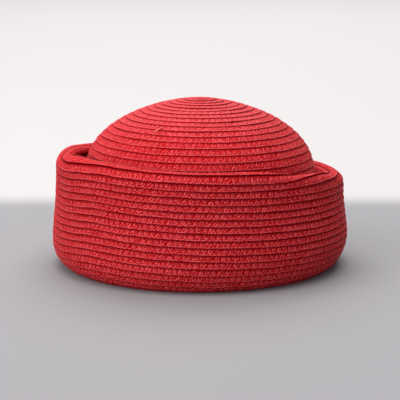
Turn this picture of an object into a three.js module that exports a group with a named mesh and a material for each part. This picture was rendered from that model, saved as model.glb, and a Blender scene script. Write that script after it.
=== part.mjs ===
// A sewn straw hat: a round crown inside a tall turned-up brim.
//
// The hat is one long straw braid, sewn round and round in overlapping rows.
// It has three pieces: the crown, the fold of the brim under it, and the brim's
// cuff, which stands around the crown.
// Millimetres, +Z up. The origin is the middle of the ring that the hat rests on.
// The front is -Y, the straighter side of the rim is -X and the rolled side is +X.

import * as THREE from 'three';

// Walls and rows of braid
const WALL = 2.2; // thickness of the sewn straw, where two rows overlap
const ROW_STEP = 0.9; // how far each row's edge stands over the next row
const SEAM_GAP = 0.3; // clearance between neighbouring pieces

// Head opening, measured on the outer face of the crown's wall
const HEAD_HALF_WIDTH = 88;
const HEAD_HALF_DEPTH = 95;
const DEPTH_RATIO = HEAD_HALF_DEPTH / HEAD_HALF_WIDTH;

// Crown: a superelliptic dome on a wall that widens a little towards the head opening
const SHOULDER_HALF_WIDTH = 86;
const SHOULDER_HEIGHT = 66;
const DOME_RISE = 58.3;
const DOME_WIDTH_POWER = 1.65;
const DOME_RISE_POWER = 2.4;
const TIP_SHIFT = -1; // the tip sits a little towards the straighter side
const SEAM_HEIGHT = 10;
const DOME_ROWS = 17;
const DOME_ROW_WIDTH = 5.75;

// Brim, with offsets measured outwards from the head opening
const HEAD_BEND_RADIUS = 5;
const REST_RING_WIDTH = 2;
const FOLD_WIDTH = 17.3;
const FOLD_HEIGHT = 19;
const FOLD_EXTRA_HEIGHT = 10; // the fold is rounder at the right front
const FOLD_EXTRA_AZIMUTH = 322;
const FOLD_EXTRA_REACH = 75;
const CUFF_LEAN = 3.2; // how far the cuff leans in above its widest place
const CUFF_LEAN_START = 0.3; // shares of the cuff's height where the lean sets in and fades out
const CUFF_LEAN_END = 0.45;
const CUFF_LENGTH = 99.5; // along the outer face, from the rest ring to the rim
const CUFF_TILT = 3.4; // how much shorter it is on the rolled side, and longer on the other
const ROLL_STRETCH = 3.5; // how much longer it is under the rolled rim, where two rows are stretched
const ROLL_STRETCH_REACH = [30, 60]; // azimuths on both sides of the right, full and fading out
const CUFF_ROWS = 14;
const FOLD_ROWS = 4; // the rows on the outer side of the fold
const BRIM_ROW_WIDTH = 4.9;
const RIM_ROW_WIDTHS = [5.6, 6.5]; // the rim's own row, then the one below it
const STRETCHED_FROM = 12.1; // distances from the rim between which the rows stretch
const STRETCHED_TO = 21.9;

// Where the brim is longer or shorter than that, and how far this reaches on both sides
const CUFF_UNEVEN = [
  { azimuth: 195, reach: 35, extra: -6 },
  { azimuth: 160, reach: 60, extra: 5 },
];

// Where the rim curls inwards, at even azimuths: the angle of the curl, in degrees,
// and the length of straw in it
const RIM_CURL = [
  { azimuth: 0, angle: 195, length: 28.6 },
  { azimuth: 22.5, angle: 200, length: 30 },
  { azimuth: 45, angle: 203, length: 31 },
  { azimuth: 67.5, angle: 161, length: 25.4 },
  { azimuth: 90, angle: 120, length: 21 },
  { azimuth: 112.5, angle: 150, length: 20.4 },
  { azimuth: 135, angle: 165, length: 23.4 },
  { azimuth: 157.5, angle: 158, length: 24 },
  { azimuth: 180, angle: 140, length: 16.8 },
  { azimuth: 202.5, angle: 62, length: 12.8 },
  { azimuth: 225, angle: 78, length: 14.8 },
  { azimuth: 247.5, angle: 84, length: 14.2 },
  { azimuth: 270, angle: 92, length: 13.3 },
  { azimuth: 292.5, angle: 95, length: 11 },
  { azimuth: 315, angle: 181, length: 15.9 },
  { azimuth: 337.5, angle: 206, length: 23.4 },
];

// How finely the faceted walls are made
const SEGMENTS = 56;
const DOME_CURVE_POINTS = 40;
const CROWN_WALL_STEPS = 4;
const CROWN_INNER_STEPS = 10;
const FOLD_INNER_STEPS = 5;
const CUFF_INNER_STEPS = 8;

// The colour of the dyed straw
const STRAW_RED = 0xb3202a;

function strawMaterial() {
  return new THREE.MeshStandardMaterial({ color: STRAW_RED, roughness: 0.6, metalness: 0 });
}

// Smooth value of one column of the rim table at an azimuth in degrees
function rimCurlAt(azimuth, column) {
  const spacing = 360 / RIM_CURL.length;
  const index = Math.floor(azimuth / spacing);
  const share = azimuth / spacing - index;
  const near = [-1, 0, 1, 2].map((step) => RIM_CURL[(index + step + RIM_CURL.length) % RIM_CURL.length][column]);
  const slopeIn = (near[2] - near[0]) / 2;
  const slopeOut = (near[3] - near[1]) / 2;
  const bend = near[1] - near[2];
  return near[1] + slopeIn * share + (-3 * bend - 2 * slopeIn - slopeOut) * share ** 2
    + (2 * bend + slopeIn + slopeOut) * share ** 3;
}

// Degrees between two azimuths
function turnBetween(azimuth, other) {
  const turn = Math.abs(azimuth - other) % 360;
  return Math.min(turn, 360 - turn);
}

// How much the rows under the rolled rim are stretched at an azimuth
function rollStretch(azimuth) {
  return ROLL_STRETCH * (1 - THREE.MathUtils.smoothstep(turnBetween(azimuth, 0), ...ROLL_STRETCH_REACH));
}

// Length of the brim's outer face at an azimuth, from the rest ring to the rim
function cuffLengthAt(azimuth) {
  let length = CUFF_LENGTH - CUFF_TILT * Math.cos(THREE.MathUtils.degToRad(azimuth)) + rollStretch(azimuth);
  for (const place of CUFF_UNEVEN) {
    const away = turnBetween(azimuth, place.azimuth);
    length += place.extra * (1 - THREE.MathUtils.smoothstep(away, 0, place.reach));
  }
  return length;
}

// A point of a section curve at a distance along it, moved out along the curve's normal.
// Sections run with the outside of the hat on their right-hand side.
function pointAlong(curve, distance, proud) {
  const share = THREE.MathUtils.clamp(distance / curve.getLength(), 0, 1);
  const point = curve.getPointAt(share);
  const tangent = curve.getTangentAt(share);
  return new THREE.Vector2(point.x + tangent.y * proud, point.y - tangent.x * proud);
}

// Section of the crown's outer face: x is the half width and y the height, from the seam to the tip
function crownSection() {
  const seamShare = SEAM_HEIGHT / SHOULDER_HEIGHT;
  const seamHalfWidth = THREE.MathUtils.lerp(HEAD_HALF_WIDTH, SHOULDER_HALF_WIDTH, seamShare);
  const dome = [];
  for (let i = 0; i <= DOME_CURVE_POINTS; i += 1) {
    const slope = (i / DOME_CURVE_POINTS) * (Math.PI / 2);
    const halfWidth = SHOULDER_HALF_WIDTH * Math.cos(slope) ** (2 / DOME_WIDTH_POWER);
    const rise = DOME_RISE * Math.sin(slope) ** (2 / DOME_RISE_POWER);
    dome.push(new THREE.Vector2(halfWidth, SHOULDER_HEIGHT + rise));
  }
  dome[DOME_CURVE_POINTS].x = 0;
  const section = new THREE.CurvePath();
  section.add(new THREE.LineCurve(new THREE.Vector2(seamHalfWidth, SEAM_HEIGHT), dome[0]));
  section.add(new THREE.SplineCurve(dome));
  return section;
}

// Height at which the fold is widest
function foldHeightAt(azimuth) {
  const away = turnBetween(azimuth, FOLD_EXTRA_AZIMUTH);
  return FOLD_HEIGHT + FOLD_EXTRA_HEIGHT * (1 - THREE.MathUtils.smoothstep(away, 0, FOLD_EXTRA_REACH));
}

// Section of the brim's outer face at an azimuth: x is the offset from the head opening
// and y the height, from the seam down the head opening, under the fold and up to the rim
function brimSection(azimuth) {
  const curlAngle = THREE.MathUtils.degToRad(rimCurlAt(azimuth, 'angle'));
  const curlLength = rimCurlAt(azimuth, 'length');
  const curlRadius = curlLength / curlAngle;
  const restStart = HEAD_BEND_RADIUS - WALL;
  const restEnd = restStart + REST_RING_WIDTH;
  const widest = restEnd + FOLD_WIDTH;
  const foldLength = new THREE.EllipseCurve(0, 0, FOLD_WIDTH, FOLD_HEIGHT, 0, Math.PI / 2).getLength();
  const curlHeight = FOLD_HEIGHT + cuffLengthAt(azimuth) - foldLength - curlLength;
  const cuffTop = widest - CUFF_LEAN;
  const foldHeight = foldHeightAt(azimuth);

  const section = new THREE.Path();
  section.moveTo(-WALL, SEAM_HEIGHT - SEAM_GAP);
  section.lineTo(-WALL, HEAD_BEND_RADIUS);
  section.absarc(restStart, HEAD_BEND_RADIUS, HEAD_BEND_RADIUS, Math.PI, 1.5 * Math.PI, false);
  section.lineTo(restEnd, 0);
  section.absellipse(restEnd, foldHeight, FOLD_WIDTH, foldHeight, 1.5 * Math.PI, 2 * Math.PI, false, 0);
  const cuffRise = curlHeight - foldHeight;
  section.bezierCurveTo(
    widest, foldHeight + cuffRise * CUFF_LEAN_START,
    cuffTop, foldHeight + cuffRise * CUFF_LEAN_END,
    cuffTop, curlHeight,
  );
  section.absarc(cuffTop - curlRadius, curlHeight, curlRadius, 0, curlAngle, false);
  return section;
}

// Places a section point of the crown at an azimuth, in degrees
function crownPoint(sectionPoint, azimuth) {
  const turn = THREE.MathUtils.degToRad(azimuth);
  const shift = TIP_SHIFT * Math.max(0, (sectionPoint.y - SHOULDER_HEIGHT) / DOME_RISE);
  const x = sectionPoint.x * Math.cos(turn) + shift;
  const y = sectionPoint.x * DEPTH_RATIO * Math.sin(turn);
  return new THREE.Vector3(x, y, sectionPoint.y);
}

// Places a section point of the brim at an azimuth, in degrees
function brimPoint(sectionPoint, azimuth) {
  const turn = THREE.MathUtils.degToRad(azimuth);
  const x = (HEAD_HALF_WIDTH + sectionPoint.x) * Math.cos(turn);
  const y = (HEAD_HALF_DEPTH + sectionPoint.x) * Math.sin(turn);
  return new THREE.Vector3(x, y, sectionPoint.y);
}

// Joins rings of points into one mesh. A ring of one point is a pole. Where no ring
// is a pole, the last ring joins the first, so the rings close into a tube.
function meshFromRings(rings) {
  const positions = [];
  const starts = rings.map((ring) => {
    const start = positions.length / 3;
    ring.forEach((point) => positions.push(point.x, point.y, point.z));
    return start;
  });
  const indices = [];
  const closed = rings[0].length > 1;
  const strips = closed ? rings.length : rings.length - 1;
  for (let i = 0; i < strips; i += 1) {
    const next = (i + 1) % rings.length;
    for (let j = 0; j < SEGMENTS; j += 1) {
      const k = (j + 1) % SEGMENTS;
      const a = starts[i] + (rings[i].length > 1 ? j : 0);
      const b = starts[i] + (rings[i].length > 1 ? k : 0);
      const c = starts[next] + (rings[next].length > 1 ? k : 0);
      const d = starts[next] + (rings[next].length > 1 ? j : 0);
      if (a !== b) indices.push(a, b, c);
      if (c !== d) indices.push(a, c, d);
    }
  }
  const geometry = new THREE.BufferGeometry();
  geometry.setAttribute('position', new THREE.Float32BufferAttribute(positions, 3));
  geometry.setIndex(indices);
  geometry.computeVertexNormals();
  return geometry;
}

// One ring of points for a step of the section, where placeAt gives the point at an azimuth
function ringOf(placeAt) {
  const ring = [];
  for (let j = 0; j < SEGMENTS; j += 1) {
    ring.push(placeAt((j / SEGMENTS) * 360));
  }
  return ring;
}

// Crown: a dome and wall, closed in one solid with the hollow for the head under it
function crown() {
  const section = crownSection();
  const length = section.getLength();
  const tip = (height) => [crownPoint(new THREE.Vector2(0, height), 0)];
  const rings = [tip(SHOULDER_HEIGHT + DOME_RISE)];
  const addRing = (distance, proud) => {
    const sectionPoint = pointAlong(section, distance, proud);
    rings.push(ringOf((azimuth) => crownPoint(sectionPoint, azimuth)));
  };

  for (let row = 1; row <= DOME_ROWS; row += 1) {
    const lowerEdge = length - row * DOME_ROW_WIDTH;
    addRing(lowerEdge, ROW_STEP);
    addRing(lowerEdge, 0);
  }
  const wallTop = length - DOME_ROWS * DOME_ROW_WIDTH;
  for (let step = CROWN_WALL_STEPS - 1; step >= 0; step -= 1) {
    addRing((wallTop * step) / CROWN_WALL_STEPS, 0);
  }
  for (let step = 0; step < CROWN_INNER_STEPS; step += 1) {
    addRing((length * step) / CROWN_INNER_STEPS, -WALL);
  }
  rings.push(tip(SHOULDER_HEIGHT + DOME_RISE - WALL));

  const mesh = new THREE.Mesh(meshFromRings(rings.reverse()), strawMaterial());
  mesh.name = 'crown';
  return mesh;
}

// Width of a row of the brim, where row 0 is at the rim
function brimRowWidth(row) {
  return RIM_ROW_WIDTHS[row] ?? BRIM_ROW_WIDTH;
}

// Distance of a row's upper edge from the rim
function brimRowTop(row) {
  let distance = 0;
  for (let above = 0; above < row; above += 1) {
    distance += brimRowWidth(above);
  }
  return distance;
}

// Distance from the rim at an azimuth of a place that would lie at a distance unstretched
function stretchedDepth(depth, azimuth) {
  const share = THREE.MathUtils.clamp((depth - STRETCHED_FROM) / (STRETCHED_TO - STRETCHED_FROM), 0, 1);
  return depth + rollStretch(azimuth) * share;
}

// Gathers the rings of one band of the brim. Each ring is asked for by its distance from
// the seam, as a function of the section's length and of the place of a depth under the rim.
function brimBand() {
  const sections = new Map();
  const sectionAt = (azimuth) => {
    if (!sections.has(azimuth)) sections.set(azimuth, brimSection(azimuth));
    return sections.get(azimuth);
  };
  const rings = [];
  const addRing = (distanceIn, proud) => {
    rings.push(ringOf((azimuth) => {
      const section = sectionAt(azimuth);
      const distance = distanceIn(section.getLength(), (depth) => stretchedDepth(depth, azimuth));
      return brimPoint(pointAlong(section, distance, proud), azimuth);
    }));
  };
  const addRows = (lowest, highest, gap) => {
    for (let row = lowest; row >= highest; row -= 1) {
      const top = brimRowTop(row);
      const spare = row === highest ? gap : 0;
      addRing((length, placed) => length - placed(top + brimRowWidth(row)), ROW_STEP);
      addRing((length, placed) => length - placed(top) - spare, 0);
    }
  };
  return { rings, addRing, addRows };
}

// Fold: down the head opening, under the hat and up to its widest place
function brimFold() {
  const { rings, addRing, addRows } = brimBand();
  const lowestRow = CUFF_ROWS + FOLD_ROWS - 1;
  const rowsDepth = brimRowTop(lowestRow + 1);
  const legLength = SEAM_HEIGHT - SEAM_GAP - HEAD_BEND_RADIUS;
  const bendLength = HEAD_BEND_RADIUS * (Math.PI / 2);
  const restEndLength = legLength + bendLength + REST_RING_WIDTH;
  addRing(() => 0, 0);
  addRing(() => legLength, 0);
  addRing(() => legLength + bendLength / 2, 0);
  addRing(() => legLength + bendLength, 0);
  addRing(() => restEndLength, 0);
  addRing((length, placed) => (restEndLength + length - placed(rowsDepth)) / 2, 0);
  addRows(lowestRow, CUFF_ROWS, SEAM_GAP);
  const bandTop = brimRowTop(CUFF_ROWS);
  for (let step = FOLD_INNER_STEPS; step >= 0; step -= 1) {
    const share = step / FOLD_INNER_STEPS;
    addRing((length, placed) => (length - placed(bandTop) - SEAM_GAP) * share, -WALL);
  }

  const mesh = new THREE.Mesh(meshFromRings(rings), strawMaterial());
  mesh.name = 'brim_fold';
  return mesh;
}

// Cuff: from the fold's widest place up to the curled rim
function brimCuff() {
  const { rings, addRing, addRows } = brimBand();
  addRows(CUFF_ROWS - 1, 0, 0);
  const cuffDepth = brimRowTop(CUFF_ROWS);
  for (let step = 0; step <= CUFF_INNER_STEPS; step += 1) {
    const share = step / CUFF_INNER_STEPS;
    addRing((length, placed) => length - placed(cuffDepth) * share, -WALL);
  }

  const mesh = new THREE.Mesh(meshFromRings(rings), strawMaterial());
  mesh.name = 'brim_cuff';
  return mesh;
}

const hat = new THREE.Group();
hat.name = 'straw_hat';
hat.add(crown(), brimFold(), brimCuff());

export default hat;
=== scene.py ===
# A straw hat of sewn braid: its rows of plaited straw, their colour, and the studio it stands in.
# Sizes are in millimetres and turn into metres where the meshes are made.
import math
import bpy
import numpy as np
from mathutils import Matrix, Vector


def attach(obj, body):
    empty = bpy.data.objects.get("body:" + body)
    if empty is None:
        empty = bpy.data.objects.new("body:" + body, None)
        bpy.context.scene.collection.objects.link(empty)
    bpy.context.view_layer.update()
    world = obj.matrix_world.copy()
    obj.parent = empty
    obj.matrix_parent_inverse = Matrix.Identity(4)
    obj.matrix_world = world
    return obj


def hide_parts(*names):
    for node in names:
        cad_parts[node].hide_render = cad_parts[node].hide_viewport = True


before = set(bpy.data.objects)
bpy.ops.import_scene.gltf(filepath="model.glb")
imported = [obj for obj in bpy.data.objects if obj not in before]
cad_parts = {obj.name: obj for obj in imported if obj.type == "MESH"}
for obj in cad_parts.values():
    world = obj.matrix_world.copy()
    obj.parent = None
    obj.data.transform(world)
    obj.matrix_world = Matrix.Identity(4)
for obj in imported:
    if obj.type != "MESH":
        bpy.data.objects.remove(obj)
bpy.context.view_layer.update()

MM = 0.001
random = np.random.default_rng(41)

# Sizes of the solids, the same as in the part's source
WALL = 2.2
SEAM_GAP = 0.3
HEAD_HALF_WIDTH = 88.0
HEAD_HALF_DEPTH = 95.0
DEPTH_RATIO = HEAD_HALF_DEPTH / HEAD_HALF_WIDTH
SHOULDER_HALF_WIDTH = 86.0
SHOULDER_HEIGHT = 66.0
DOME_RISE = 58.3
DOME_WIDTH_POWER = 1.65
DOME_RISE_POWER = 2.4
TIP_SHIFT = -1.0
SEAM_HEIGHT = 10.0
DOME_ROW_WIDTH = 5.75
HEAD_BEND_RADIUS = 5.0
REST_RING_WIDTH = 2.0
FOLD_WIDTH = 17.3
FOLD_HEIGHT = 19.0
CUFF_LEAN = 3.2
CUFF_LEAN_START = 0.3
CUFF_LEAN_END = 0.45
CUFF_LENGTH = 99.5
CUFF_TILT = 3.4
ROLL_STRETCH = 3.5
ROLL_STRETCH_REACH = (30.0, 60.0)
CUFF_ROW_WIDTH = 4.9
RIM_ROW_WIDTHS = (5.6, 6.5)
STRETCHED_FROM = 12.1
STRETCHED_TO = 21.9
FOLD_EXTRA = (322.0, 75.0, 10.0)  # azimuth, its reach on both sides, and extra height of the fold
CUFF_UNEVEN = ((195.0, 35.0, -6.0), (160.0, 60.0, 5.0))  # the same for the cuff's length
RIM_EXTRA = (200.0, 48.0, 4.6)  # the same for the rim's own row, which is wider there
RIM_CURL = (  # angle in degrees and length of straw in the curl, at even azimuths
    (195.0, 28.6), (200.0, 30.0), (203.0, 31.0), (161.0, 25.4),
    (120.0, 21.0), (150.0, 20.4), (165.0, 23.4), (158.0, 24.0),
    (140.0, 16.8), (62.0, 12.8), (78.0, 14.8), (84.0, 14.2),
    (92.0, 13.3), (95.0, 11.0), (181.0, 15.9), (206.0, 23.4),
)

# Numbers of points on the curves of the sections, and of even places in their tables
DOME_POINTS = 400
BEND_POINTS = 20
CURVE_POINTS = 60
CROWN_PLACES = 800
BRIM_PLACES = 500

# Braid
PLAIT_LENGTH = 4.6  # length of braid from one crossing of the strands to the next
PLAIT_WIDTH = 7.0  # the same across the braid, because the strands lie steeply
PLAIT_MIDDLE = 3.6  # where the upper strands lie, from the braid's tucked edge
BRAID_WIDTH = 6.3
CORD_FROM = 0.84  # share of the width where the braid's smooth edge cord starts
CORD_SHAPED = (CORD_FROM - 0.06, CORD_FROM + 0.03)  # shares between which it takes over
STEP = PLAIT_LENGTH / 6  # length of the mesh's faces
ACROSS_AT = (0.0, 0.18, 0.34, 0.50, 0.65, 0.77, 0.86, 0.945, 1.0)  # the mesh's places across it
UNDER_AT = (0.86, 0.14)  # and on its underside
UNDER_MARKS = (1.25, 1.75)  # how the underside is told from the top in the map of the braid
OVERLAP = 1.4  # how far each row is tucked under its neighbour
THICKNESS = 1.6
GIRTH = 2.3  # length round the strip, in widths of braid
EDGE_DROP = 0.22  # how far the braid's edges round down
EDGE_POWER = 8  # how close to its edges the braid stays flat
SCALLOP = 0.10  # how far the free edge waves in and out with the plait
CROWN_LIP = 0.42  # how far a row's free edge stands over the next row
BRIM_LIP = 1.05
TUCK = -0.45  # where the tucked edge lies
RELIEF = 0.30  # height of the plait's pillows
RIM_RELIEF = 0.22
SUNK = 0.45  # share of the relief that lies below the braid's outer face
CORD_RISE = 0.12  # how far the edge cord stands out
CORD_RELIEF = 0.6  # and the share of the relief that it has besides
RIDGES = 4  # fine ridges across the braid of the rim
RIDGE_HEIGHT = 0.40
UNEVENNESS = 0.12  # how far the strands stray, in parts of a crossing
STRAY_COUNT = 10  # waves that are added up for the way they stray
STRAY_LENGTHS = (4.0, 16.0)  # the shortest and the longest of these waves

# How the braid wavers: how far, and the shortest and the longest wave
WAVE_COUNT = 14  # waves that are added up
EDGE_WAVES = (0.13, 25.0, 240.0)
LIFT_WAVES = (0.07, 20.0, 150.0)
PLAIT_WAVES = (0.3, 8.0, 40.0)

# How high the plait's pillows are, where 1 is the full relief
ROUND_SHARE = 0.3  # share of a pillow's height that runs on along its strand
UNDER_STRAND = 0.62
UPPER_STRAND_EXTRA = 0.5
PILLOW_VARIES = 0.35
CELL_COUNT = 8192
CELL_FACTORS = (7919, 104729)  # primes that spread the lattice's cells over the table of values

# A loose end of straw on the crown: azimuths and distances from the tip, widths and heights
END_FROM = (243.6, 59.6)
END_TO = (239.2, 65.8)
END_WIDTHS = (0.9, 2.4)
END_HEIGHTS = (0.95, 0.50)
END_THICKNESS = 0.6
END_ACROSS = (0.8, 0.6)  # degrees of azimuth and distance for each millimetre of its width
END_FRAY = 0.35
END_TEETH = 2.5
END_RINGS = 10
END_SIDES = 8
END_MARK = 0.93  # place across the braid that it is coloured like: the edge cord
END_CELL_FROM = (0.3, 0.5)  # where it lies in a cell of the plait, and its scales there
END_CELL_SCALES = (0.4, 0.2)

# Places in the unit square that each strip is packed into
PACK_MARGIN = 0.06  # beside each length of the strip, in widths of its row
SIDE_MARGIN = 0.01
CAP_PLACE = 0.004  # of the strip's two ends, which lie in the side margin
CAP_RADIUS = 0.003


# Sections of the hat, as tables along their length

def smoothstep(share):
    return share * share * (3.0 - 2.0 * share)


def fade(value, low, high):
    """Smooth step from 0 at low to 1 at high."""
    return smoothstep(np.clip((value - low) / (high - low), 0.0, 1.0))


def turn_between(azimuth, other):
    turn = np.mod(np.abs(azimuth - other), 360.0)
    return np.minimum(turn, 360.0 - turn)


def uneven(azimuth, place, reach, extra):
    """An extra that is whole at one place round the hat and fades out to both sides."""
    return extra * (1.0 - fade(turn_between(azimuth, place), 0.0, reach))


def roll_stretch(azimuth):
    """How much the rows under the rolled rim are stretched."""
    return ROLL_STRETCH * (1.0 - fade(turn_between(azimuth, 0.0), *ROLL_STRETCH_REACH))


def cuff_length_at(azimuth):
    length = CUFF_LENGTH - CUFF_TILT * math.cos(math.radians(azimuth)) + roll_stretch(azimuth)
    return length + sum(uneven(azimuth, *place) for place in CUFF_UNEVEN)


def lengths_along(points):
    steps = np.hypot(*np.diff(points, axis=0).T)
    return np.concatenate([[0.0], np.cumsum(steps)])


def resample(points, count):
    """Places at even distances along a polyline, with the outward normals and the length."""
    along = lengths_along(points)
    even = np.linspace(0.0, along[-1], count)
    placed = np.stack([np.interp(even, along, points[:, axis]) for axis in (0, 1)], axis=1)
    tangent = np.gradient(placed, axis=0)
    tangent /= np.linalg.norm(tangent, axis=1, keepdims=True)
    normal = np.stack([tangent[:, 1], -tangent[:, 0]], axis=1)
    return placed, normal, along[-1]


def crown_section():
    """From the tip down to the seam: half width and height."""
    slope = np.linspace(0.0, math.pi / 2, DOME_POINTS)
    dome = np.stack([
        SHOULDER_HALF_WIDTH * np.cos(slope) ** (2 / DOME_WIDTH_POWER),
        SHOULDER_HEIGHT + DOME_RISE * np.sin(slope) ** (2 / DOME_RISE_POWER),
    ], axis=1)
    dome[-1, 0] = 0.0
    share = SEAM_HEIGHT / SHOULDER_HEIGHT
    seam_width = HEAD_HALF_WIDTH + (SHOULDER_HALF_WIDTH - HEAD_HALF_WIDTH) * share
    points = np.concatenate([[[seam_width, SEAM_HEIGHT]], dome])
    placed, normal, length = resample(points, CROWN_PLACES)
    return placed[::-1], normal[::-1], length


def rim_curl_at(azimuth):
    """Angle and length of the curl, on a smooth curve through the table."""
    place = azimuth / 360.0 * len(RIM_CURL)
    index = int(place)
    share = place - index
    near = [np.array(RIM_CURL[(index + step) % len(RIM_CURL)]) for step in (-1, 0, 1, 2)]
    slope_in = (near[2] - near[0]) / 2
    slope_out = (near[3] - near[1]) / 2
    bend = near[1] - near[2]
    return (near[1] + slope_in * share + (-3 * bend - 2 * slope_in - slope_out) * share ** 2
            + (2 * bend + slope_in + slope_out) * share ** 3)


def arc(centre, radii, start, end, count):
    """Points on an ellipse between two angles in degrees."""
    turn = np.radians(np.linspace(start, end, count))
    return np.stack([centre[0] + radii[0] * np.cos(turn), centre[1] + radii[1] * np.sin(turn)], axis=1)


def brim_section(azimuth):
    """From the rim down the cuff, under the fold and up to the seam: offset and height."""
    curl_angle, curl_length = rim_curl_at(azimuth)
    curl_radius = curl_length / math.radians(curl_angle)
    rest_start = HEAD_BEND_RADIUS - WALL
    rest_end = rest_start + REST_RING_WIDTH
    widest = rest_end + FOLD_WIDTH
    level_fold = arc((rest_end, FOLD_HEIGHT), (FOLD_WIDTH, FOLD_HEIGHT), 270, 360, CURVE_POINTS)
    curl_height = FOLD_HEIGHT + cuff_length_at(azimuth) - lengths_along(level_fold)[-1] - curl_length
    fold_height = FOLD_HEIGHT + uneven(azimuth, *FOLD_EXTRA)
    fold = arc((rest_end, fold_height), (FOLD_WIDTH, fold_height), 270, 360, CURVE_POINTS)
    rise = curl_height - fold_height
    top = widest - CUFF_LEAN
    corners = np.array([
        [widest, fold_height], [widest, fold_height + rise * CUFF_LEAN_START],
        [top, fold_height + rise * CUFF_LEAN_END], [top, curl_height],
    ])
    share = np.linspace(0.0, 1.0, CURVE_POINTS)[1:, None]
    rest = 1 - share
    cuff = (rest ** 3 * corners[0] + 3 * rest ** 2 * share * corners[1]
            + 3 * rest * share ** 2 * corners[2] + share ** 3 * corners[3])
    bend_radii = (HEAD_BEND_RADIUS, HEAD_BEND_RADIUS)
    bend = arc((rest_start, HEAD_BEND_RADIUS), bend_radii, 180, 270, BEND_POINTS)
    curl_centre = (top - curl_radius, curl_height)
    curl_end = curl_angle * (1.0 + uneven(azimuth, *RIM_EXTRA) / curl_length)
    curl = arc(curl_centre, (curl_radius, curl_radius), 0, curl_end, CURVE_POINTS)
    points = np.concatenate([
        [[-WALL, SEAM_HEIGHT - SEAM_GAP]],
        bend, fold, cuff, curl[1:],
    ])
    placed, normal, length = resample(points, BRIM_PLACES)
    return placed[::-1], normal[::-1], length


CROWN = crown_section()
BRIM = [brim_section(azimuth) for azimuth in range(360)]
BRIM_PLACED = np.stack([section[0] for section in BRIM])
BRIM_NORMAL = np.stack([section[1] for section in BRIM])
BRIM_LENGTH = np.array([section[2] for section in BRIM])


def place_crown(azimuth, distance, proud):
    """A point of the crown at a distance from the tip, standing proud of the outer face."""
    placed, normal, length = CROWN
    at = np.clip(distance, 0.0, length)
    even = np.linspace(0.0, length, len(placed))
    width, height = (np.interp(at, even, placed[:, axis]) for axis in (0, 1))
    out, up = (np.interp(at, even, normal[:, axis]) for axis in (0, 1))
    width = np.maximum(width + out * proud, 0.0)
    height = height + up * proud
    turn = np.radians(azimuth)
    shift = TIP_SHIFT * np.maximum(0.0, (height - SHOULDER_HEIGHT) / DOME_RISE)
    return np.stack([width * np.cos(turn) + shift, width * DEPTH_RATIO * np.sin(turn), height], axis=-1)


def place_brim(azimuth, distance, proud):
    """A point of the brim at a distance from the rim, standing proud of the outer face."""
    column = np.mod(azimuth, 360.0)
    left = np.floor(column).astype(int) % 360
    right = (left + 1) % 360
    mix = column - np.floor(column)
    length = BRIM_LENGTH[left] * (1 - mix) + BRIM_LENGTH[right] * mix
    stretch = np.clip((distance - STRETCHED_FROM) / (STRETCHED_TO - STRETCHED_FROM), 0.0, 1.0)
    widened = np.clip(distance / RIM_ROW_WIDTHS[0], 0.0, 1.0)
    distance = distance + roll_stretch(azimuth) * stretch + uneven(azimuth, *RIM_EXTRA) * widened
    row = np.clip(distance / length, 0.0, 1.0) * (BRIM_PLACES - 1)
    low = np.minimum(np.floor(row).astype(int), BRIM_PLACES - 2)
    part = row - low

    def lookup(table):
        lower = table[left, low] * (1 - mix)[..., None] + table[right, low] * mix[..., None]
        upper = table[left, low + 1] * (1 - mix)[..., None] + table[right, low + 1] * mix[..., None]
        return lower * (1 - part)[..., None] + upper * part[..., None]

    placed = lookup(BRIM_PLACED) + lookup(BRIM_NORMAL) * proud[..., None]
    turn = np.radians(azimuth)
    return np.stack([
        (HEAD_HALF_WIDTH + placed[..., 0]) * np.cos(turn),
        (HEAD_HALF_DEPTH + placed[..., 0]) * np.sin(turn),
        np.maximum(placed[..., 1], 0.0),
    ], axis=-1)


# Rows of braid

class Wobble:
    """A smooth, seeded waver along the braid, in millimetres of its length."""

    def __init__(self, amplitude, shortest, longest):
        self.waves = 2 * math.pi / random.uniform(shortest, longest, WAVE_COUNT)
        self.phases = random.uniform(0.0, 2 * math.pi, WAVE_COUNT)
        self.amplitude = amplitude / math.sqrt(WAVE_COUNT / 2)

    def at(self, along):
        return self.amplitude * np.sin(np.outer(along, self.waves) + self.phases).sum(axis=1)


CELL_VALUES = random.uniform(-1.0, 1.0, CELL_COUNT)


def cell_value(first, second):
    """A seeded value from -1 to 1 for each cell of the lattice."""
    cells = np.floor(first).astype(np.int64), np.floor(second).astype(np.int64)
    key = cells[0] * CELL_FACTORS[0] + cells[1] * CELL_FACTORS[1]
    return CELL_VALUES[key % CELL_COUNT]


def plait_relief(first, second):
    """Height of the plaited strands, from 0 between them to 1 on top of each. The strands
    of every second place lie on top, and the others show between them."""
    crests = [np.abs(np.sin(np.pi * side)) for side in (first, second)]
    on_top = np.mod(np.floor(first) + np.floor(second), 2.0)
    pillow = ROUND_SHARE * np.maximum(*crests) + (1.0 - ROUND_SHARE) * crests[0] * crests[1]
    strand = UNDER_STRAND + UPPER_STRAND_EXTRA * on_top
    return pillow * strand * (1.0 + PILLOW_VARIES * cell_value(first, second))


STRAY_WAVES = 2 * math.pi / random.uniform(*STRAY_LENGTHS, (2, STRAY_COUNT))
STRAY_TURNS = random.uniform(0.0, 2 * math.pi, (2, STRAY_COUNT))
STRAY_PHASES = random.uniform(0.0, 2 * math.pi, (2, STRAY_COUNT))


def stray(family, along, aside):
    """How far the strands of one direction lie off their places in the lattice."""
    total = np.zeros_like(along)
    for wave, turn, phase in zip(STRAY_WAVES[family], STRAY_TURNS[family], STRAY_PHASES[family]):
        total += np.sin(wave * (along * math.cos(turn) + aside * math.sin(turn)) + phase)
    return total * UNEVENNESS / math.sqrt(STRAY_COUNT / 2)


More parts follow.
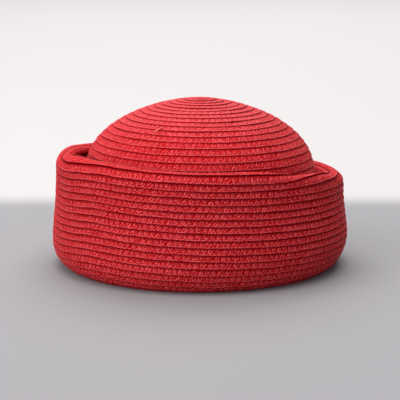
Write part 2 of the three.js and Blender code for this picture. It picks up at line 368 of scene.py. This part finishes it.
class Spiral:
    """One long braid wound round and round: where its edge lies at each step of the lattice."""

    steps_a_turn = 720

    def __init__(self, place, edge_at, width_at, turns, first_azimuth):
        self.place = place
        fine = np.arange(0.0, turns, 1 / self.steps_a_turn)
        azimuth = first_azimuth + 360.0 * fine
        halfway = np.maximum(edge_at(fine) - width_at(fine) / 2, edge_at(fine) / 2)
        middle = place(azimuth, halfway, np.zeros_like(fine))
        along = np.concatenate([[0.0], np.cumsum(np.linalg.norm(np.diff(middle, axis=0), axis=1))])
        self.count = int(along[-1] / STEP)
        self.along = np.arange(self.count) * STEP
        self.turn = np.interp(self.along, along, fine)
        self.azimuth = first_azimuth + 360.0 * self.turn
        self.width = width_at(self.turn)
        self.edge = edge_at(self.turn) + Wobble(*EDGE_WAVES).at(self.along)
        self.lift = Wobble(*LIFT_WAVES).at(self.along)
        self.plaited = self.along + Wobble(*PLAIT_WAVES).at(self.along)

    def index_at(self, turn):
        return int(np.searchsorted(self.turn, turn))


def braid_piece(name, spiral, start, end, material, lip, relief=RELIEF, ridges=0.0, stride=1):
    """A closed strip of plaited straw between two turns of a spiral."""
    last = min(spiral.index_at(end) + 1, spiral.count)
    steps = np.arange(spiral.index_at(start), last, stride)
    rows = len(steps)
    across = np.array(ACROSS_AT + UNDER_AT)
    ring = len(across)
    on_top = np.arange(ring) < len(ACROSS_AT)

    along, aside = np.meshgrid(spiral.plaited[steps], across * BRAID_WIDTH, indexing="ij")
    off_middle = (aside - PLAIT_MIDDLE) / PLAIT_WIDTH
    first = along / PLAIT_LENGTH + off_middle + stray(0, along, aside)
    second = along / PLAIT_LENGTH - off_middle + 1.0 + stray(1, along, aside)
    width = spiral.width[steps][:, None]
    distance = spiral.edge[steps][:, None] - width * (1.0 - across[None, :])
    scallop = SCALLOP * np.cos(2 * math.pi * along / PLAIT_LENGTH) * (across == 1.0)[None, :]
    azimuth = np.broadcast_to(spiral.azimuth[steps][:, None], distance.shape)

    face = TUCK + (lip - TUCK) * across[None, :] + spiral.lift[steps][:, None]
    rounding = 1.0 - np.abs(2.0 * across - 1.0) ** EDGE_POWER
    cord = fade(across, *CORD_SHAPED)[None, :]
    plaited = plait_relief(first, second) * relief
    pillows = plaited * (1.0 - cord) + (relief * CORD_RELIEF + CORD_RISE) * cord
    pillows = pillows + ridges / 2 * np.cos(2 * math.pi * RIDGES * across)[None, :]
    top = face - EDGE_DROP * (1.0 - rounding)[None, :] + (pillows - relief * SUNK) * rounding[None, :]
    proud = np.where(on_top[None, :], top, face - THICKNESS)
    places = spiral.place(azimuth.ravel(), (distance + scallop).ravel(), proud.ravel()) * MM

    marks = np.broadcast_to(np.array(ACROSS_AT + UNDER_MARKS), along.shape)
    maps = {"Plait": (first, second), "Braid": (along, marks)}
    packed = packed_places(rows, ring, rows * STEP, GIRTH * float(spiral.width.mean()))
    return closed_strip(name, places, rows, ring, maps, packed, material)


def closed_strip(name, places, rows, ring, maps, packed, material):
    """A closed piece of rings of points, one after the other, with its maps of the surface."""
    quads = np.arange((rows - 1) * ring).reshape(rows - 1, ring)
    beside = np.roll(np.arange(ring), -1)
    corner = np.stack([quads, quads[:, beside], quads[:, beside] + ring, quads + ring], axis=-1)
    first_cap = np.arange(ring)[::-1]
    last_cap = (rows - 1) * ring + np.arange(ring)
    loops = np.concatenate([corner.ravel(), first_cap, last_cap])
    starts = np.concatenate([np.arange(0, corner.size, 4), [corner.size, corner.size + ring]])

    mesh = bpy.data.meshes.new(name)
    mesh.vertices.add(rows * ring)
    mesh.vertices.foreach_set("co", places.astype(np.float32).ravel())
    mesh.loops.add(len(loops))
    mesh.loops.foreach_set("vertex_index", loops.astype(np.int32))
    mesh.polygons.add(len(starts))
    mesh.polygons.foreach_set("loop_start", starts.astype(np.int32))
    mesh.update(calc_edges=True)
    mesh.polygons.foreach_set("use_smooth", np.ones(len(starts), dtype=bool))
    for layer, pair in maps.items():
        values = np.stack([side.ravel() for side in pair], axis=1)[loops]
        mesh.uv_layers.new(name=layer).data.foreach_set("uv", values.astype(np.float32).ravel())
    mesh.uv_layers.new(name="OFBake").data.foreach_set("uv", packed.astype(np.float32).ravel())
    mesh.validate()
    mesh.materials.append(material)

    piece = bpy.data.objects.new(name, mesh)
    bpy.context.scene.collection.objects.link(piece)
    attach(piece, "root")
    return piece


def straw_end(name, material):
    """The loose end of one length of straw, pressed down over the edge of its row."""
    share = np.linspace(0.0, 1.0, END_RINGS)[:, None]
    azimuth, distance = (np.array(END_FROM) + (np.array(END_TO) - END_FROM) * share).T
    half = (END_WIDTHS[0] + (END_WIDTHS[1] - END_WIDTHS[0]) * share) / 2
    around = np.radians(np.arange(0.0, 360.0, 360.0 / END_SIDES))
    aside, lift = np.cos(around) * half, np.sin(around) * END_THICKNESS / 2
    height = END_HEIGHTS[0] + (END_HEIGHTS[1] - END_HEIGHTS[0]) * smoothstep(share)
    frayed = END_FRAY * np.cos(END_TEETH * np.pi * np.cos(around)) * (share == 1.0)
    places = place_crown(
        (azimuth[:, None] + END_ACROSS[0] * aside).ravel(),
        (distance[:, None] + END_ACROSS[1] * aside + frayed).ravel(),
        (height + lift).ravel(),
    ) * MM

    along = np.broadcast_to(share, aside.shape)
    cell = [
        start + scale * side
        for start, scale, side in zip(END_CELL_FROM, END_CELL_SCALES, (along, aside))
    ]
    maps = {"Plait": cell, "Braid": (along, np.full(along.shape, END_MARK))}
    packed = packed_places(END_RINGS, END_SIDES, length=1.0, girth=1.0)
    return closed_strip(name, places, END_RINGS, END_SIDES, maps, packed, material)


def packed_places(rows, ring, length, girth):
    """The strip cut into lengths that lie in rows over the unit square, for each face corner."""
    lengths = max(1, round(math.sqrt(length / girth)))
    run = math.ceil((rows - 1) / lengths)
    step, side = np.meshgrid(np.arange(rows - 1), np.arange(ring), indexing="ij")
    chunk = step // run
    left = (step - chunk * run) / run
    right = left + 1.0 / run
    low, high = (
        (chunk + PACK_MARGIN + (1.0 - 2.0 * PACK_MARGIN) * edge / ring) / lengths
        for edge in (side, side + 1)
    )
    left, right = (SIDE_MARGIN + (1.0 - 2.0 * SIDE_MARGIN) * edge for edge in (left, right))
    corner = np.stack([
        np.stack([left, low], -1), np.stack([left, high], -1),
        np.stack([right, high], -1), np.stack([right, low], -1),
    ], axis=2)
    turn = np.linspace(0.0, 2 * math.pi, ring, endpoint=False)
    cap = CAP_PLACE + CAP_RADIUS * np.stack([np.cos(turn), np.sin(turn)], axis=1)
    return np.concatenate([corner.reshape(-1, 2), cap, cap + np.array([0.0, SIDE_MARGIN])])


# Materials

# Colours of the straw: the painted shade under its rows' edges, on the edges' sides and in the gaps
# between its strands, lighter on the crown, then from its deepest red to its palest strands, whose pale
# colour also makes the painted glints and highlights
STRAW_PAINTED_SHADE = (0.25, 0.0, 0.002, 1.0)
CROWN_PAINTED_SHADE = (0.36, 0.0, 0.001, 1.0)
STRAW_DEEP = (0.41, 0.002, 0.004, 1.0)
STRAW_MID = (0.53, 0.014, 0.018, 1.0)
STRAW_PALE_AND_GLINT = (0.74, 0.090, 0.102, 1.0)
STRAW_PALE = (0.68, 0.125, 0.105, 1.0)
DEEP_TO_MID = (0.0, 0.45)  # tones between which one colour turns into the next
MID_TO_LIGHT = (0.40, 1.0)

# Surface of the straw
SHEEN_TINT = (1.0, 0.30, 0.30, 1.0)
SHEEN_ROUGHNESS = 0.25
SPECULAR = 0.02
ROUGHNESS = (0.40, 0.56)  # the least and the most, from fibre to fibre

# Where the cord, the painted shade on the free edge's side and the stitches lie, in widths of braid
CORD_STARTS = (CORD_FROM - 0.05, CORD_FROM + 0.03)
CORD_ENDS = (1.01, 1.05)
EDGE_SHADE_STARTS = (0.945, 0.985)
EDGE_SHADE_ENDS = (1.14, 1.24)
STITCH_ROW = (0.80, 0.02, 0.06)  # middle, half width, and half width with its soft edges
STITCH_LENGTH = 3.6
STITCH_ENDS = (0.10, 0.20)  # in lengths of a stitch

# Pattern of a strand. Each splint has its middle across the strand, its half width, its half
# width with its soft edges, and its strength; the splints are raised in the bump and painted as
# highlights in the tone. The scales of the fibres are along the strand, across it, and from one
# strand to the next; those of the flecks are along the braid, across it, and their slant.
SPLINTS = ((0.28, 0.04, 0.16, 1.0), (0.74, 0.03, 0.15, 0.95))
PILLOW_POWER = 3.0  # how flat a strand is on top
GAP_SHADE_REACH = (0.0, 0.48)  # heights of the pillows between which the painted shade in the gap beside them fades out
GAP_SHADE_DEPTHS = (0.9, 0.3)  # from patch to patch, for a contrast of 1
FIBRE_SCALES = (2.0, 12.0, 40.0)
FLECK_SCALES = (1.1, 6.0, 3.6)
PATCH_SCALE = 60.0  # for each metre
NOISE_RANGE = (0.3, 0.7)
FLECK_RANGE = (0.40, 0.64)
# Painted shade where a row comes out from under its neighbour: the range of the noise that varies its
# reach, and how it falls off
CREVICE_SHADE_RANGE = (0.35, 0.65)
CREVICE_SHADE_POWER = 0.7
PAINTED_TOP_LIGHT_HEIGHTS = (0.098, 0.122)  # metres: painted light, the straw is painted paler towards the top of the crown, where the light falls

# What each of these adds to the tone, which is 0 at the deepest red and 1 at the lightest
BASE_TONE = 0.14
BETWEEN_SPLINTS = -0.26
# Painted highlight along the splints
SPLINT_PAINTED_HIGHLIGHT = 0.95
SPLINT_SHARES = (0.35, 0.45)  # painted highlight on the lower strands, and how much more on the upper ones
STRAND_TONE = 0.22
# The flecks: darker mottle, and painted glints where they are light
FLECK_MOTTLE_AND_GLINT_TONES = (-0.24, 0.48)
FIBRE_TONE = 0.30
PATCH_TONES = (-0.06, 0.06)
# Painted highlight: the edge cord is made lighter, as if it caught the light
CORD_PAINTED_HIGHLIGHT = 0.34

# What each of these adds to the height, in millimetres
PILLOW_HEIGHT = 0.26
CORD_FLATTENS = -0.24
SPLINT_HEIGHT = 0.20
FIBRE_HEIGHT = 0.10
FLECK_HEIGHT = 0.22
STITCH_HEIGHT = -0.10


class Nodes:
    """Short hand for the node trees of the materials."""

    def __init__(self, name):
        self.material = bpy.data.materials.new(name)
        self.material.use_nodes = True
        self.tree = self.material.node_tree
        self.surface = self.tree.nodes["Principled BSDF"]

    def add(self, kind, values=None, **settings):
        node = self.tree.nodes.new(kind)
        for key, value in settings.items():
            setattr(node, key, value)
        for key, value in (values or {}).items():
            self.feed(node.inputs[key], value)
        return node

    def feed(self, socket, value):
        if isinstance(value, bpy.types.NodeSocket):
            self.tree.links.new(value, socket)
        else:
            socket.default_value = value

    def math(self, operation, *values, clamp=False):
        node = self.add("ShaderNodeMath", dict(enumerate(values)), operation=operation)
        node.use_clamp = clamp
        return node.outputs[0]

    def add_up(self, total, *parts):
        """The total and each of the parts, which are pairs of a value and its weight."""
        for value, weight in parts:
            total = self.math("MULTIPLY_ADD", value, weight, total)
        return total

    def spread(self, value, low, high, to_low=0.0, to_high=1.0):
        """Smooth step from one value at low to another at high."""
        node = self.add("ShaderNodeMapRange", interpolation_type="SMOOTHSTEP")
        for index, item in enumerate((value, low, high, to_low, to_high)):
            self.feed(node.inputs[index], item)
        return node.outputs[0]

    def band(self, value, middle, inner, outer, strength=1.0):
        """The strength near the middle, fading out between two distances from it."""
        away = self.math("ABSOLUTE", self.math("SUBTRACT", value, middle))
        return self.spread(away, inner, outer, strength, 0.0)

    def between(self, value, starts, ends):
        """1 between the start and the end, fading out over each."""
        return self.math("MULTIPLY", self.spread(value, *starts), self.spread(value, *ends, 1.0, 0.0))

    def mix(self, share, first, second):
        node = self.add("ShaderNodeMix", data_type="RGBA")
        self.feed(node.inputs[0], share)
        self.feed(node.inputs[6], first)
        self.feed(node.inputs[7], second)
        return node.outputs[2]

    def noise(self, place, scale=1.0, detail=2.0, **settings):
        values = {"Vector": place, "Scale": scale, "Detail": detail}
        return self.add("ShaderNodeTexNoise", values, **settings).outputs[0]

    def vector(self, *sides):
        return self.add("ShaderNodeCombineXYZ", dict(enumerate(sides))).outputs[0]

    def sides(self, vector):
        return self.add("ShaderNodeSeparateXYZ", {0: vector}).outputs

    def uv_map(self, name):
        return self.sides(self.add("ShaderNodeUVMap", uv_map=name).outputs[0])[:2]

    def place(self):
        return self.add("ShaderNodeTexCoord").outputs["Object"]


class StrawNodes(Nodes):
    """Dyed flat straw, plaited: each strand dives under the next, with splints, fine fibres
    and flecks along it, painted highlights on its splints, flecks and edge cord, and painted
    shade between its strands and under its rows' edges."""

    def __init__(self, name):
        super().__init__(name)
        first, second = self.uv_map("Plait")
        self.length, self.sideways = self.uv_map("Braid")
        place = self.place()
        self.up = self.sides(place)[2]
        self.patches = self.noise(place, scale=PATCH_SCALE)
        across, along = self.lay_strands(first, second)
        self.body = self.math("MULTIPLY", self.pillow(across), self.pillow(along))
        self.splints = self.math("ADD", *[self.band(across, *splint) for splint in SPLINTS])
        fibre_place = [
            self.math("MULTIPLY", side, scale)
            for side, scale in zip((along, across, self.own), FIBRE_SCALES)
        ]
        self.fibres = self.noise(self.vector(*fibre_place))
        by_length, by_side, slant = FLECK_SCALES
        fleck_place = (
            self.add_up(self.math("MULTIPLY", self.length, by_length), (self.sideways, slant)),
            self.math("MULTIPLY", self.sideways, by_side),
        )
        self.flecks = self.noise(self.vector(*fleck_place), detail=3.0, noise_dimensions="2D")
        self.cord = self.between(self.sideways, CORD_STARTS, CORD_ENDS)

    def lay_strands(self, first, second):
        """How far across and along its strand each place lies, on the strand that is on top.
        Keeps which of the two directions it has, and a random value of its own."""
        cells = [self.math("FLOOR", side) for side in (first, second)]
        in_first, in_second = (self.math("FRACT", side) for side in (first, second))
        self.upper = self.math("FLOORED_MODULO", self.math("ADD", *cells), 2.0)
        cell = {"Vector": self.vector(*cells)}
        self.own = self.add("ShaderNodeTexWhiteNoise", cell, noise_dimensions="2D").outputs[0]
        apart = self.math("SUBTRACT", in_first, in_second)
        across = self.math("MULTIPLY_ADD", self.upper, apart, in_second)
        along = self.math("SUBTRACT", self.math("ADD", in_first, in_second), across)
        return across, along

    def pillow(self, share):
        """1 in the middle of a strand and 0 at its edges."""
        off_middle = self.math("ABSOLUTE", self.math("MULTIPLY_ADD", share, 2.0, -1.0))
        return self.math("SUBTRACT", 1.0, self.math("POWER", off_middle, PILLOW_POWER))

    def tone(self, contrast, ridge_painted_light_and_shade, painted_top_light):
        """How light the straw is, from 0 at the deepest red to 1 at the lightest, with painted
        highlights on the splints, flecks and edge cord, painted light and shade on the rim's ridges and
        painted light at the top of the crown.
        """
        on_lower, more_on_upper = SPLINT_SHARES
        # Painted light and shade on the rim's fine ridges: lighter on their crests, darker between them
        ridge = self.math("COSINE", self.math("MULTIPLY", self.sideways, 2 * math.pi * RIDGES))
        shares = self.math("MULTIPLY_ADD", self.upper, more_on_upper, on_lower)
        varied = self.add_up(
            BETWEEN_SPLINTS,
            (self.math("MULTIPLY", shares, self.splints), SPLINT_PAINTED_HIGHLIGHT),
            (self.own, STRAND_TONE),
            (self.spread(self.flecks, *FLECK_RANGE, *FLECK_MOTTLE_AND_GLINT_TONES), 1.0))
        tone = self.add_up(
            BASE_TONE,
            (varied, contrast),
            (self.fibres, FIBRE_TONE),
            (self.spread(self.patches, *NOISE_RANGE, *PATCH_TONES), 1.0),
            (ridge, ridge_painted_light_and_shade),
            # Painted light: lighter towards the top of the crown
            (self.spread(self.up, *PAINTED_TOP_LIGHT_HEIGHTS), painted_top_light))
        # Painted highlight on the edge cord
        return self.math("MULTIPLY_ADD", self.cord, CORD_PAINTED_HIGHLIGHT, tone, clamp=True)

    def strand_colour(self, tone, pale_and_glint_colour, contrast):
        """The straw's colour, with painted shade in the gaps between the strands."""
        colour = self.mix(self.spread(tone, *DEEP_TO_MID), STRAW_DEEP, STRAW_MID)
        colour = self.mix(self.spread(tone, *MID_TO_LIGHT), colour, pale_and_glint_colour)
        # Painted shade in the gaps between the strands, where the pillows are low
        gap = self.math("MULTIPLY", self.spread(self.body, *GAP_SHADE_REACH, 1.0, 0.0),
                        self.math("SUBTRACT", 1.0, self.cord))
        depths = [depth * contrast for depth in GAP_SHADE_DEPTHS]
        gap = self.math("MULTIPLY", gap, self.spread(self.patches, *NOISE_RANGE, *depths))
        return self.mix(gap, colour, STRAW_PAINTED_SHADE)

    def shade(self, crevice_shade_widths, crevice_shade_depth, edge_shade_depth):
        """Painted shade: how dark the straw is painted where it comes out from under its neighbour, and
        on its free edge's side, which faces down.
        """
        emerging = self.math("SUBTRACT", self.sideways, OVERLAP / BRAID_WIDTH)
        end = self.spread(self.patches, *CREVICE_SHADE_RANGE, *crevice_shade_widths)
        crevice = self.math("SUBTRACT", 1.0, self.math("DIVIDE", emerging, end), clamp=True)
        crevice = self.math("MULTIPLY", self.math("POWER", crevice, CREVICE_SHADE_POWER), crevice_shade_depth)
        edge = self.math("MULTIPLY", self.between(self.sideways, EDGE_SHADE_STARTS, EDGE_SHADE_ENDS), edge_shade_depth)
        return self.math("MAXIMUM", crevice, edge)

    def stitches(self):
        in_row = self.band(self.sideways, *STITCH_ROW)
        along_it = self.math("PINGPONG", self.math("DIVIDE", self.length, STITCH_LENGTH), 0.5)
        return self.math("MULTIPLY", in_row, self.spread(along_it, *STITCH_ENDS))

    def height(self):
        pillows = self.math("MULTIPLY_ADD", self.cord, CORD_FLATTENS, PILLOW_HEIGHT)
        return self.add_up(
            self.math("MULTIPLY", self.body, pillows),
            (self.splints, SPLINT_HEIGHT),
            (self.fibres, FIBRE_HEIGHT),
            (self.flecks, FLECK_HEIGHT),
            (self.stitches(), STITCH_HEIGHT))


def straw_material(name, contrast, crevice_shade_widths, crevice_shade_depth, painted_shade_colour=STRAW_PAINTED_SHADE,
                   pale_and_glint_colour=STRAW_PALE_AND_GLINT, edge_shade_depth=1.0, ridge_painted_light_and_shade=0.0, painted_top_light=0.0, sheen=0.0):
    """Straw with its own looks. The contrast is that of the strands and their flecks, with their
    painted highlights, and of the painted shade in the gaps between them. The crevice shade
    widths say how far the painted shade under the next row reaches, in widths of braid, at the
    least and at the most. The crevice and edge shade depths are those of this painted shade and
    of the one on the free edge's side. The ridges' painted light and shade says how clearly the
    fine ridges show, and the painted top light says how much lighter the top of the crown is painted."""
    straw = StrawNodes(name)
    tone = straw.tone(contrast, ridge_painted_light_and_shade, painted_top_light)
    shade = straw.shade(crevice_shade_widths, crevice_shade_depth, edge_shade_depth)
    # The painted shade under and on the rows' edges is mixed over the straw's colour
    colour = straw.mix(shade, straw.strand_colour(tone, pale_and_glint_colour, contrast), painted_shade_colour)
    bump = straw.add("ShaderNodeBump", {"Strength": 1.0, "Distance": MM, "Height": straw.height()})
    surface = straw.surface.inputs
    straw.feed(surface["Base Color"], colour)
    straw.feed(surface["Normal"], bump.outputs[0])
    straw.feed(surface["Roughness"], straw.spread(straw.fibres, *NOISE_RANGE, *ROUGHNESS))
    surface["Specular IOR Level"].default_value = SPECULAR
    surface["Sheen Weight"].default_value = sheen
    surface["Sheen Roughness"].default_value = SHEEN_ROUGHNESS
    surface["Sheen Tint"].default_value = SHEEN_TINT
    return straw.material


# The hat

crown_straw = straw_material(
    "crown_straw_plait", contrast=0.80, crevice_shade_widths=(0.16, 0.30), crevice_shade_depth=0.75,
    painted_shade_colour=CROWN_PAINTED_SHADE, edge_shade_depth=0.75, painted_top_light=0.30, sheen=0.30)
brim_straw = straw_material(
    "brim_straw_plait", contrast=1.10, crevice_shade_widths=(0.24, 0.40), crevice_shade_depth=0.95)
rim_straw = straw_material(
    "rim_straw_plait", contrast=0.6, crevice_shade_widths=(0.12, 0.24), crevice_shade_depth=0.85,
    ridge_painted_light_and_shade=0.30, sheen=0.08)
end_straw = straw_material(
    "loose_straw", contrast=0.3, crevice_shade_widths=(0.05, 0.10), crevice_shade_depth=0.0,
    pale_and_glint_colour=STRAW_PALE, painted_top_light=0.6, sheen=0.3)

CROWN_FIRST_AZIMUTH = 270.0
CROWN_TURNS = CROWN[2] / DOME_ROW_WIDTH + 0.9  # it goes on until its last row ends at the seam


def crown_edge(turn):
    return DOME_ROW_WIDTH * turn


def crown_width(turn):
    return np.full_like(turn, DOME_ROW_WIDTH + OVERLAP)


# The tables give the edge and the width of the braid's end at the rim, and then of each row
BRIM_FIRST_AZIMUTH = 180.0
BRIM_ROWS = 24
BRIM_TURNS = BRIM_ROWS + 0.88  # the last row tapers off round the back
BRAID_END_EDGE = 0.8
BRAID_END_WIDTH = 1.0
CUFF_ROWS = [CUFF_ROW_WIDTH] * (BRIM_ROWS - 1)
BRIM_EDGES = np.concatenate([[BRAID_END_EDGE], np.cumsum([*RIM_ROW_WIDTHS, *CUFF_ROWS])])
BRIM_WIDTHS = np.array([
    BRAID_END_WIDTH, RIM_ROW_WIDTHS[0], RIM_ROW_WIDTHS[1] + OVERLAP,
    *[width + OVERLAP for width in CUFF_ROWS],
])


def brim_row(turn):
    """Rows run level round the front half and climb by one row round the back half."""
    share = np.mod(turn, 1.0)
    climb = smoothstep(np.clip(share * 2.0 - 1.0, 0.0, 1.0))
    return BRIM_ROWS - np.floor(turn) - climb


def at_brim_row(turn, table):
    return np.interp(brim_row(turn), np.arange(-1, len(table) - 1), table)


def brim_edge(turn):
    return at_brim_row(turn, BRIM_EDGES)


def brim_width(turn):
    return at_brim_row(turn, BRIM_WIDTHS)


# Name, first and last turn, and steps of the spiral from one ring of the mesh to the next
CROWN_PIECES = (
    ("crown_top_rows", 0.0, 10.5, 1),
    ("crown_side_rows", 10.5, 18.5, 1),
    ("crown_wall_rows", 18.5, CROWN_TURNS, 2),
)
RIM_START = 23.75
BRIM_PIECES = (
    ("brim_fold_rows", 0.5, 9.75),
    ("cuff_lower_rows", 9.75, 16.75),
    ("cuff_upper_rows", 16.75, RIM_START),
)

crown_spiral = Spiral(place_crown, crown_edge, crown_width, CROWN_TURNS, CROWN_FIRST_AZIMUTH)
brim_spiral = Spiral(place_brim, brim_edge, brim_width, BRIM_TURNS, BRIM_FIRST_AZIMUTH)

crown_pieces = [
    braid_piece(name, crown_spiral, start, end, crown_straw, CROWN_LIP, stride=stride)
    for name, start, end, stride in CROWN_PIECES
]
brim_pieces = [
    braid_piece(name, brim_spiral, start, end, brim_straw, BRIM_LIP)
    for name, start, end in BRIM_PIECES
]
brim_pieces.append(braid_piece(
    "rim_rows", brim_spiral, RIM_START, BRIM_TURNS, rim_straw, BRIM_LIP,
    relief=RIM_RELIEF, ridges=RIDGE_HEIGHT))
crown_pieces.append(straw_end("straw_end", end_straw))

for piece in crown_pieces:
    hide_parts("crown")
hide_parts("brim_fold")
for piece in brim_pieces[1:]:
    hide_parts("brim_cuff")


# Studio, with its sizes in metres

FLOOR_GREY = (0.270, 0.262, 0.274, 1.0)
FLOOR_WHITE = (0.53, 0.508, 0.506, 1.0)
FLOOR_TURNS_WHITE = (0.22, 0.30)  # behind the hat's middle
FLOOR_ROUGHNESS = 0.8
FLOOR_HALF_WIDTH = 8.0
HAT_MIDDLE = (0.0, 0.0, 0.06)
FAR_FLOOR = (0.0, 3.0, 0.0)
WHITE_LIGHT = (1.0, 1.0, 1.0)
WARM_LIGHT = (1.0, 0.985, 0.97)
SKY_COLOUR = (0.95, 0.95, 1.0, 1.0)
SKY_STRENGTH = 0.25


def stage_material():
    """Pale grey floor that turns nearly white behind the hat."""
    paper = Nodes("pale_paper")
    behind = paper.spread(paper.sides(paper.place())[1], *FLOOR_TURNS_WHITE)
    paper.feed(paper.surface.inputs["Base Color"], paper.mix(behind, FLOOR_GREY, FLOOR_WHITE))
    paper.surface.inputs["Roughness"].default_value = FLOOR_ROUGHNESS
    return paper.material


def floor_stage():
    """A flat floor without a wall, so that nothing stands in the way from any side."""
    half = FLOOR_HALF_WIDTH
    corners = [(-half, -half, 0), (half, -half, 0), (half, half, 0), (-half, half, 0)]
    mesh = bpy.data.meshes.new("stage")
    mesh.from_pydata(corners, [], [(0, 1, 2, 3)])
    mesh.materials.append(stage_material())
    stage = bpy.data.objects.new("stage", mesh)
    bpy.context.scene.collection.objects.link(stage)


def area_light(name, place, target, size, power, colour=WHITE_LIGHT):
    data = bpy.data.lights.new(name, "AREA")
    data.shape = "DISK"
    data.size, data.energy, data.color = size, power, colour
    light = bpy.data.objects.new(name, data)
    light.location = place
    light.rotation_euler = (Vector(target) - Vector(place)).to_track_quat("-Z", "Y").to_euler()
    bpy.context.scene.collection.objects.link(light)


floor_stage()
area_light("key", (-1.95, -1.0, 1.1), HAT_MIDDLE, size=2.6, power=44.0, colour=WARM_LIGHT)
area_light("top", (-0.1, -0.1, 2.0), HAT_MIDDLE, size=2.2, power=36.0)
area_light("fill", (-0.2, -2.2, 0.8), HAT_MIDDLE, size=1.4, power=13.5)
area_light("far_floor", (0.0, 3.0, 2.6), FAR_FLOOR, size=4.0, power=135.0)

world = bpy.data.worlds.new("studio")
world.use_nodes = True
sky = world.node_tree.nodes["Background"]
sky.inputs["Color"].default_value = SKY_COLOUR
sky.inputs["Strength"].default_value = SKY_STRENGTH
bpy.context.scene.world = world
bpy.context.scene.view_settings.view_transform = "Standard"

# Camera at the photograph's viewing angle
IMAGE_WIDTH = 400.0
FOCAL_PIXELS = 1655.0
SENSOR_WIDTH = 36.0
CAMERA_PLACE = (0.0, -1.230, 0.266)
CAMERA_LOOKS_DOWN = 10.1
CLIP_END = 20.0

camera_data = bpy.data.cameras.new("camera")
camera_data.sensor_width = SENSOR_WIDTH
camera_data.lens = FOCAL_PIXELS / IMAGE_WIDTH * SENSOR_WIDTH
camera_data.clip_end = CLIP_END
camera = bpy.data.objects.new("camera", camera_data)
camera.location = CAMERA_PLACE
camera.rotation_euler = (math.radians(90.0 - CAMERA_LOOKS_DOWN), 0.0, 0.0)
bpy.context.scene.collection.objects.link(camera)
bpy.context.scene.camera = camera
